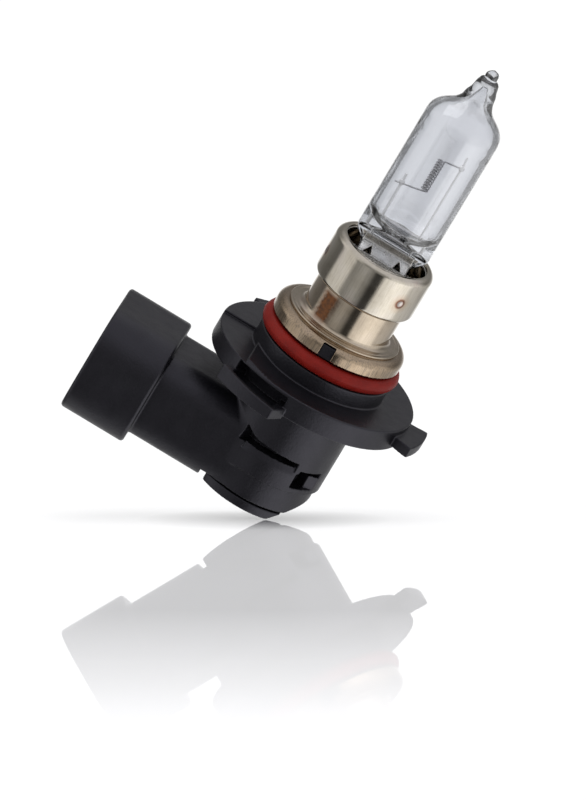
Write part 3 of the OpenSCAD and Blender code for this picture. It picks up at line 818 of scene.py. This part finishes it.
def clip_apron(ax, ay, z, plate_z):
    """A sheet that slopes from a jaw down to the plate, with a leaning gap on each side."""
    top_y, top_z = APRON_TOP
    slope = math.atan2(top_z - plate_z + CLIP_T / 2, APRON_LOW_Y - top_y)
    along = (ay - top_y) * math.cos(slope) - (z - top_z) * math.sin(slope)
    through = (ay - top_y) * math.sin(slope) + (z - top_z) * math.cos(slope)
    lap, length, gap_y = 0.1, 2.4, (1.9, 3.9)
    sheet = rounded(ax - JAW_HALF_W, span(along, -lap, length),
                    np.abs(through) - CLIP_T / 2, edge=0.12)
    (left_x, left_cos, left_sin), (right_x, right_cos, right_sin) = APRON_GAP
    gap_left = (ax - left_x) * left_cos - (APRON_LOW_Y - ay) * left_sin
    gap_right = (right_x - ax) * right_cos - (APRON_LOW_Y - ay) * right_sin
    gap = np.maximum(np.maximum(-gap_left, -gap_right), span(ay, *gap_y))
    return cut(sheet, gap, edge=0.06)


def clip(x, y, z):
    """The spring clip: two jaws on the pinch, sloped aprons, a plate and three legs."""
    plate_z = CAN_TOP_Z - SHEET - CLIP_GAP
    plate_r = CAN_R - SHEET - CLIP_GAP
    rho, ax, ay = np.hypot(x, y), np.abs(x), np.abs(y)
    jaw = rounded(ax - JAW_HALF_W, span(ay, JAW_Y, JAW_Y + CLIP_T),
                  span(z, JAW_LOW_Z, JAW_HIGH_Z), edge=0.12)
    front = join(jaw, clip_apron(ax, ay, z, plate_z), fillet=0.3)
    hole_half_w, hole_half_d = 4.2, 3.7
    side_half_d, rim_w = 3.3, 0.9
    plate = rounded(rho - plate_r, span(z, plate_z - CLIP_T, plate_z), edge=0.12)
    plate = cut(plate, rounded(ax - hole_half_w, ay - hole_half_d, edge=0.3), edge=0.08)
    side = rounded(hole_half_w - ax, ay - side_half_d, rho - (plate_r - rim_w), edge=0.4)
    whole = join(front, cut(plate, side, edge=0.08), fillet=0.2)
    leg_low_z, leg_half_az = 14.9, 17
    for azimuth in WELD_AZIMUTHS:
        leg = wedge(x, y, z, plate_r - CLIP_T, plate_r, azimuth - leg_half_az,
                    azimuth + leg_half_az, leg_low_z, plate_z, edge=0.12)
        whole = join(whole, leg, fillet=0.25)
    return whole


def build_collar():
    """The two sleeves, the locating ring and the spring clip inside them."""
    welded = collar_finish("collar_steel_welded", marks=weld_spots)
    tinted = collar_finish("collar_steel_tinted", (0.92, 0.85, 0.81), marks=burnt_patch)
    plain = collar_finish("collar_steel", (0.74, 0.62, 0.53), roughness=0.09,
                          scratches=0.007, streaks=0.8)
    points, faces = lathe(can_outline(), 400)
    make_piece("collar_can", press_welds(points), faces, welded, "collar_steel", ["upper_sleeve"])
    make_piece("collar_neck", *lathe(neck_outline(), 320), tinted, "collar_steel", ["lower_sleeve"])
    solid("collar_ring", locating_ring, ring_low, ring_high, 0.13, plain, "collar_steel",
          ["locating_ring"])
    clip_low, clip_high = box_mm("pinch_clip")
    solid("spring_clip", clip, clip_low, clip_high, 0.1, bright_steel_finish(), "clip_steel",
          ["pinch_clip"])


# ---- cap
def bevel(x, z):
    """Outside the sloping face opposite the connector."""
    length = math.hypot(BEVEL_RUN, BEVEL_DROP)
    return ((x - BEVEL_X) * BEVEL_DROP - (z - BEVEL_Z) * BEVEL_RUN) / length


def flange(x, y, z):
    """The flange, with the step and the ramp in the front left part of its face."""
    step_back_y, ramp_inset, ramp_low_z = 0.32, 0.3, -1
    rho = np.hypot(x, y)
    disc = rounded(rho - FLANGE_R, span(z, -FLANGE_T, 0), edge=0.22)
    step = rounded(x - LEFT_STEP_X, -LEFT_STEP - z, y - step_back_y, edge=0.05)
    disc = cut(disc, step, edge=0.06)
    rise = z - (RAMP_END_X - x) * RAMP_H / (RAMP_END_X - LEFT_STEP_X)
    ramp = rounded(rise, LEFT_STEP_X - x, x - RAMP_END_X, y, rho - FLANGE_R + ramp_inset,
                   ramp_low_z - z, edge=0.1)
    return join(disc, ramp)


def beside(x, y, start, end):
    """How far outside a line through two points of the XY plane; below 0 on its left."""
    (x0, y0), (x1, y1) = start, end
    return ((x - x0) * (y1 - y0) - (y - y0) * (x1 - x0)) / math.hypot(x1 - x0, y1 - y0)


def low_lug(x, y, z):
    """The low lug: a block of a ring with a sloping top, cut off askew at its right end."""
    rho = np.hypot(x, y)
    left_x = LUG_R * math.cos(math.radians(LOW_LUG_AZ))
    fall = (LOW_LUG_LEFT_Z - LOW_LUG_RIGHT_Z) / (LOW_LUG_END[0][0] - left_x)
    top = z - LOW_LUG_LEFT_Z + (x - left_x) * fall
    return rounded(rho - LUG_R, LOW_LUG_ROOT_R - rho, LOW_LUG_LOW_Z - z, top,
                   beside(x, y, *LOW_LUG_END),
                   between_azimuths(x, y, LOW_LUG_AZ, LOW_LUG_PAST_AZ), edge=0.15)


def lug_groove(x, y, z):
    """The groove behind the low lug's wall, and its mouth under the flange's lip."""
    past_flange = 1
    groove = wedge(x, y, z, LUG_GROOVE_IN_R, LUG_GROOVE_OUT_R, *LUG_GROOVE_AZ, LUG_GROOVE_LOW_Z,
                   LOW_LUG_RIGHT_Z + LUG_GROOVE_LAP, edge=0.05)
    mouth = wedge(x, y, z, LUG_GROOVE_IN_R, FLANGE_R + past_flange, LOW_LUG_AZ, MOUTH_END_AZ,
                  LOW_LUG_RIGHT_Z, -MOUTH_LIP, edge=0.05)
    return join(groove, mouth)


def connector_outside(x, y, z):
    """The neck from the body and the wider collar round the plug's mouth."""
    inside_collar, lap = 2, 1
    section = (NECK_W, NECK_H, NECK_CORNER)
    neck = bar(x, y, z, MOUTH_X + inside_collar, NECK_END_X, *section, edge=0.25)
    inner_end = bar(x, y, z, NECK_END_X - lap, 0, *section, edge=0.1)
    neck = join(neck, np.maximum(inner_end, SEAM_Z - z))
    collar = bar(x, y, z, MOUTH_X, MOUTH_X + COLLAR_LEN, NECK_W + 2 * COLLAR_STEP,
                 NECK_H + 2 * COLLAR_STEP, NECK_CORNER + COLLAR_STEP, edge=0.5)
    return join(neck, collar, fillet=0.25)


def housing_outside(x, y, z):
    """The moulding without its lugs and hollows: body, connector, flange and spigot."""
    inside_body_z, inside_flange_z = -10, -2
    rho = np.hypot(x, y)
    body = rounded(rho - BODY_R, span(z, BODY_STEP_Z, 0), edge=0.08)
    heel = rounded(rho - BODY_LOW_R, span(z, SEAM_Z, inside_body_z), edge=0.12)
    body = join(body, heel, fillet=0.1)
    body = join(body, connector_outside(x, y, z), fillet=0.5)
    body = join(body, flange(x, y, z), fillet=0.25)
    spigot = rounded(rho - SPIGOT_R, span(z, inside_flange_z, SPIGOT_TOP_Z), edge=0.25)
    groove = rounded(rho - SEAL_GROOVE_R, span(z, inside_flange_z, CROWN_TOP_Z), edge=0.1)
    crown = rounded(rho - CROWN_R, span(z, CROWN_LOW_Z, CROWN_TOP_Z), edge=0.15)
    top = join(join(spigot, groove, fillet=0.2), crown, fillet=0.1)
    return join(body, top, fillet=0.2)


def upper_window(x, y, z):
    """A deep slot with a recess below it that tapers out to the surface."""
    start, end = UPPER_WINDOW_AZ
    past_roof_z = -9
    height = UPPER_SLOT_LOW_Z - UPPER_WINDOW_LOW_Z
    rise = ((np.hypot(x, y) - (BODY_R - UPPER_RECESS_DEPTH)) * height
            + (z - UPPER_SLOT_LOW_Z) * UPPER_RECESS_DEPTH)
    recess = rounded(-rise / math.hypot(height, UPPER_RECESS_DEPTH),
                     between_azimuths(x, y, start, end), z - UPPER_SLOT_LOW_Z - WINDOW_LAP,
                     edge=0.05)
    slot = wedge(x, y, z, BODY_R - SLOT_DEPTH, WINDOW_OUT_R, UPPER_SLOT_AZ, end,
                 UPPER_SLOT_LOW_Z, past_roof_z, edge=0.05)
    right_x, right_z, lean, bend_x, bend = 4.8, -11.25, 0.085, -1.4, 0.1
    roof = right_z + lean * (right_x - x) + bend * np.maximum(bend_x - x, 0) ** 2
    return meet(join(recess, slot), z - roof, edge=0.05)


def lower_window(x, y, z):
    """A deep slot, a deep pocket below its left part, and a facet on its right."""
    inner, top_z = BODY_R - SLOT_DEPTH, LOWER_SLOT_LOW_Z + WINDOW_LAP
    slot = wedge(x, y, z, inner, WINDOW_OUT_R, *LOWER_SLOT_AZ, LOWER_SLOT_LOW_Z,
                 LOWER_SLOT_TOP_Z, edge=0.05)
    pocket = wedge(x, y, z, inner, WINDOW_OUT_R, *POCKET_AZ, POCKET_LOW_Z, top_z, edge=0.05)
    facet = rounded(-beside(x, y, FACET_IN, FACET_OUT), FACET_IN[0] - x,
                    span(z, POCKET_LOW_Z, top_z), edge=0.05)
    return join(slot, join(pocket, facet))


def socket_hollow(x, y, z):
    """The space the plug goes into, less its polarising rib."""
    w, h = NECK_W - 2 * SOCKET_WALL, NECK_H - 2 * SOCKET_WALL
    hollow = bar(x, y, z, MOUTH_X - PAST, MOUTH_X + SOCKET_DEPTH, w, h,
                 NECK_CORNER - SOCKET_WALL, edge=0.3)
    rib = rounded(np.abs(y) - RIB_HALF_W, CONNECTOR_Z + h / 2 - RIB_H - z,
                  MOUTH_X + RIB_INSET - x, edge=0.15)
    return cut(hollow, rib, edge=0.1)


def housing(x, y, z):
    """The cap moulding: flange, body, connector, lugs, and the hollows in them."""
    rho = np.hypot(x, y)
    whole = meet(housing_outside(x, y, z), bevel(x, z), edge=0.25)
    for start, end in LUG_AZIMUTHS:
        lug = wedge(x, y, z, LUG_ROOT_R, LUG_R, start, end, LUG_LOW_Z, LUG_HIGH_Z, edge=0.12)
        whole = join(whole, lug, fillet=0.15)
    whole = join(whole, low_lug(x, y, z), fillet=0.15)
    whole = cut(whole, lug_groove(x, y, z), edge=0.08)
    whole = cut(whole, upper_window(x, -np.abs(y), z), edge=0.08)
    whole = cut(whole, lower_window(x, -np.abs(y), z), edge=0.08)
    well = rounded(rho - WELL_R, span(z, WELL_FLOOR_Z, CROWN_TOP_Z + PAST), edge=0.3)
    chamber = rounded(rho - CHAMBER_R, CHAMBER_LEFT_X - x,
                      span(z, SEAM_Z - PAST, CHAMBER_TOP_Z), edge=0.3)
    whole = cut(cut(whole, well, edge=0.15), chamber, edge=0.1)
    return cut(whole, socket_hollow(x, y, z), edge=0.35)


def cover(x, y, z):
    """The bottom cover, set off from the body by a fine seam."""
    seam, plug_gap, plug_h, plug_lap = 0.22, 0.05, 0.8, 0.6
    rho = np.hypot(x, y)
    plate = rounded(rho - BODY_LOW_R, COVER_LEFT_X - x, span(z, COVER_LOW_Z, SEAM_Z - seam),
                    bevel(x, z), edge=0.18)
    plug = rounded(rho - (CHAMBER_R - plug_gap), CHAMBER_LEFT_X + plug_gap - x,
                   span(z, SEAM_Z - plug_lap, SEAM_Z + plug_h), edge=0.1)
    return join(plate, plug)


def blade(side, root_x):
    """A contact: its chamfered blade and the tab that crosses to the outer lead."""
    mid_y, t, half_h = side * BLADE_Y, 0.8, 1.4
    tip_x, chamfer_len, chamfer = -21.6, 0.9, 0.25
    lead_y, lead_room = 0.47, 0.6
    tab_low_y = min(mid_y - t / 2, lead_y - lead_room)
    tab_high_y = max(mid_y + t / 2, lead_y + lead_room)

    def distance(x, y, z):
        thin_by = chamfer * smooth_step(-x, -(tip_x + chamfer_len), -tip_x)
        flat = rounded(np.abs(y - mid_y) - t / 2 + thin_by, span(x, tip_x, root_x),
                       np.abs(z - CONNECTOR_Z) - half_h + thin_by, edge=0.1)
        tab = rounded(span(x, root_x - t, root_x), span(y, tab_low_y, tab_high_y),
                      np.abs(z - CONNECTOR_Z) - half_h, edge=0.1)
        return join(flat, tab, fillet=0.15)
    return distance


def seal_outline():
    """The seal's round section, with the mould's parting line round its equator."""
    section_r = SEAL_SECTION / 2
    centre_r = SEAL_R - section_r
    parting_h, parting_w, steps = 0.035, 0.07, 48
    outline = []
    for i in range(steps):
        t = 2 * math.pi * i / steps
        outward = math.cos(t) > 0
        flash = parting_h * math.exp(-(math.sin(t) / parting_w) ** 2) if outward else 0
        r = section_r - parting_h + flash
        outline.append((centre_r + r * math.cos(t), SEAL_Z - r * math.sin(t)))
    return outline


def build_cap():
    """The moulding, its cover, the seal, the two contacts and the sealing compound."""
    solid("cap_housing", housing, cap_low, cap_high, 0.22, plastic_finish("cap_plastic"),
          "cap_plastic", ["base_housing"])
    solid("cap_cover", cover, cover_low, cover_high, 0.18, plastic_finish("cover_plastic"),
          "cap_plastic", ["bottom_cover"])
    make_piece("seal", *lathe(seal_outline()), rubber_finish(), "seal_rubber", ["seal_ring"])
    metal = tinned_finish()
    for name, node, side in (("blade_front", "contact_front", -1),
                             ("blade_rear", "contact_rear", 1)):
        low, high = box_mm(node)
        solid(name, blade(side, high.x), low, high, 0.12, metal, "contact_metal", [node])
    paint_node("sealing_compound", resin_finish())


# ---- camera, floor and light
CAMERA_ELEVATION = math.radians(21.5)
CAMERA_ROLL = math.radians(31)
CAMERA_DISTANCE = 2.0
FRAME_HEIGHT = 0.1119
AIM = Vector((-0.60, 0, -6.34)) * MM
SENSOR, CLIP_END = 36.0, 20
TO_CAMERA = Vector((0, -math.cos(CAMERA_ELEVATION), math.sin(CAMERA_ELEVATION)))
UPRIGHT = Vector((0, math.sin(CAMERA_ELEVATION), math.cos(CAMERA_ELEVATION)))
RIGHT = Vector((1, 0, 0))
PHOTO_UP = UPRIGHT * math.cos(CAMERA_ROLL) - RIGHT * math.sin(CAMERA_ROLL)


def place_camera():
    """Looks down at the bulb, rolled so that it leans to the right."""
    data = bpy.data.cameras.new("camera")
    data.sensor_width = SENSOR
    data.lens = SENSOR * CAMERA_DISTANCE / FRAME_HEIGHT
    data.clip_end = CLIP_END
    camera = add_object("camera", data)
    right = PHOTO_UP.cross(TO_CAMERA)
    turn = Matrix((right, PHOTO_UP, TO_CAMERA)).transposed().to_4x4()
    camera.matrix_world = Matrix.Translation(AIM + TO_CAMERA * CAMERA_DISTANCE) @ turn
    bpy.context.scene.camera = camera


def lowest_along(direction):
    """The lowest point of the frame's nodes along a direction, in metres."""
    points = np.concatenate([mesh_points(obj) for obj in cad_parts.values()])
    return Vector(points[(points @ np.array(direction)).argmin()])


def floor_finish(touch, nearer):
    """White, with a painted shadow under the bulb where its glow is turned down, a mirror image that
    fades, and clear from below.
    """
    f = Finish("floor_white", Emission_Color=(1, 1, 1, 1), Roughness=0.6)
    # Painted shadow: the floor's glow is none within 3 mm of where the bulb touches and rises to its
    # full 0.48 at 18 mm.
    f.set("Emission Strength", f.spread(f.near(touch / MM, 3, 18), 0, 1, 0.48, 0.0))
    f.set("Base Color", f.two_tone(f.noise(60, 2), (0.86, 0.86, 0.865), (0.88, 0.88, 0.885)))
    gloss = f.node("ShaderNodeBsdfGlossy", {"Color": (1, 1, 1, 1), "Roughness": 0.01})
    nearness = f.node("ShaderNodeVectorMath", {0: f.place, 1: nearer}, operation="DOT_PRODUCT")
    start = touch.dot(nearer)
    fade = f.spread(nearness.outputs["Value"], start + 0.15, start + 0.335, 0.46, 0)
    sheen = add_blend(f.tree, fade, f.shader, gloss)
    clear = f.node("ShaderNodeBsdfTransparent")
    below = f.node("ShaderNodeNewGeometry").outputs["Backfacing"]
    either = add_blend(f.tree, below, sheen, clear)
    f.tree.links.new(either.outputs[0], f.tree.nodes["Material Output"].inputs["Surface"])
    return f.material


def place_floor():
    """A pale floor under the lowest corner, seen at a grazing angle."""
    graze = math.radians(4)
    normal = PHOTO_UP * math.cos(graze) + TO_CAMERA * math.sin(graze)
    along = RIGHT * math.cos(CAMERA_ROLL) + UPRIGHT * math.sin(CAMERA_ROLL)
    away = normal.cross(along)
    touch = lowest_along(normal)
    half, back = 0.9, 0.25
    corners = [touch + along * u * half + away * v
               for u, v in ((-1, -half), (1, -half), (1, back), (-1, back))]
    mesh = bpy.data.meshes.new("floor")
    mesh.from_pydata(corners, [], [(0, 1, 2, 3)])
    mesh.materials.append(floor_finish(touch, -away))
    floor = add_object("floor", mesh)
    floor.visible_glossy = False
    floor.visible_transmission = False
    return touch, normal


def ring_of_light(tree, turn, stops):
    """Soft greys round the horizon, as (azimuth in degrees from the front, grey) stops."""
    return add_ramp(tree, turn, [(azimuth / 360 + 0.5, (grey, grey, grey))
                                 for azimuth, grey in stops], "EASE")


def smooth_share(tree, value, low, high):
    """0 below low and 1 above high, rising smoothly between them."""
    return add_node(tree, "ShaderNodeMapRange",
                    {"Value": value, "From Min": low, "From Max": high},
                    interpolation_type="SMOOTHSTEP").outputs[0]


def soft_panels(tree):
    """What the bulb reflects: two rings of soft panels, a dome, and a white card behind."""
    direction = add_node(tree, "ShaderNodeTexCoord").outputs["Generated"]
    x, y, z = add_node(tree, "ShaderNodeSeparateXYZ", {0: direction}).outputs
    azimuth = add_math(tree, "ARCTAN2", x, add_math(tree, "MULTIPLY", y, -1.0))
    turn = add_math(tree, "MULTIPLY_ADD", azimuth, 1 / (2 * math.pi), 0.5)
    low_ring = ring_of_light(tree, turn, [
        (-180, 0.6), (-150, 0.25), (-95, 0.14), (-84, 0.72), (-52, 0.80), (-41, 0.30),
        (-16, 0.42), (-6, 0.30), (8, 0.05), (19, 0.06), (29, 1.05), (62, 1.5), (84, 1.3),
        (98, 0.75), (125, 0.62), (145, 0.48), (165, 0.6), (180, 0.6)])
    high_ring = ring_of_light(tree, turn, [
        (-180, 0.24), (-130, 0.24), (-90, 0.8), (-50, 0.7), (-20, 0.28), (20, 0.28),
        (50, 1.0), (100, 0.9), (135, 0.24), (180, 0.24)])
    sides = add_mix(tree, smooth_share(tree, z, -0.15, 0.25), low_ring, high_ring)
    dome = add_mix(tree, smooth_share(tree, z, 0.3, 0.85), sides, (0.72, 0.72, 0.75))
    straight = add_node(tree, "ShaderNodeVectorMath", {0: direction, 1: -TO_CAMERA},
                        operation="DOT_PRODUCT").outputs["Value"]
    card = smooth_share(tree, straight, math.cos(math.radians(30)),
                        math.cos(math.radians(14)))
    return add_mix(tree, card, dome, (1, 1, 1))


def make_studio():
    """White to the camera, a soft grey through the glass, and soft panels to the rest."""
    world = bpy.data.worlds.new("studio")
    bpy.context.scene.world = world
    world.use_nodes = True
    tree = world.node_tree
    tree.nodes.clear()
    path = add_node(tree, "ShaderNodeLightPath").outputs
    share = add_math(tree, "MULTIPLY", path["Is Transmission Ray"], 0.82)
    light = add_mix(tree, share, soft_panels(tree), (0.62, 0.64, 0.67))
    studio = add_node(tree, "ShaderNodeBackground", {"Color": light, "Strength": 1.0})
    white = add_node(tree, "ShaderNodeBackground", {"Color": (1, 1, 1, 1), "Strength": 1.05})
    either = add_blend(tree, path["Is Camera Ray"], studio, white)
    add_node(tree, "ShaderNodeOutputWorld", {"Surface": either.outputs[0]})


def place_panel(name, direction, target, distance, size, power):
    """A square soft panel that faces a target and stays out of reflections."""
    data = bpy.data.lights.new(name, "AREA")
    data.shape = "SQUARE"
    data.size = size
    data.energy = power
    panel = add_object(name, data)
    away = Vector(direction).normalized()
    panel.visible_glossy = False
    panel.matrix_world = (Matrix.Translation(target + away * distance)
                          @ away.to_track_quat("Z", "Y").to_matrix().to_4x4())


bpy.context.scene.view_settings.view_transform = "Standard"
place_camera()
touch, floor_normal = place_floor()
make_studio()
place_panel("panel_above", floor_normal, touch, distance=0.7, size=0.5, power=0.9)

build_lamp()
build_collar()
build_cap()
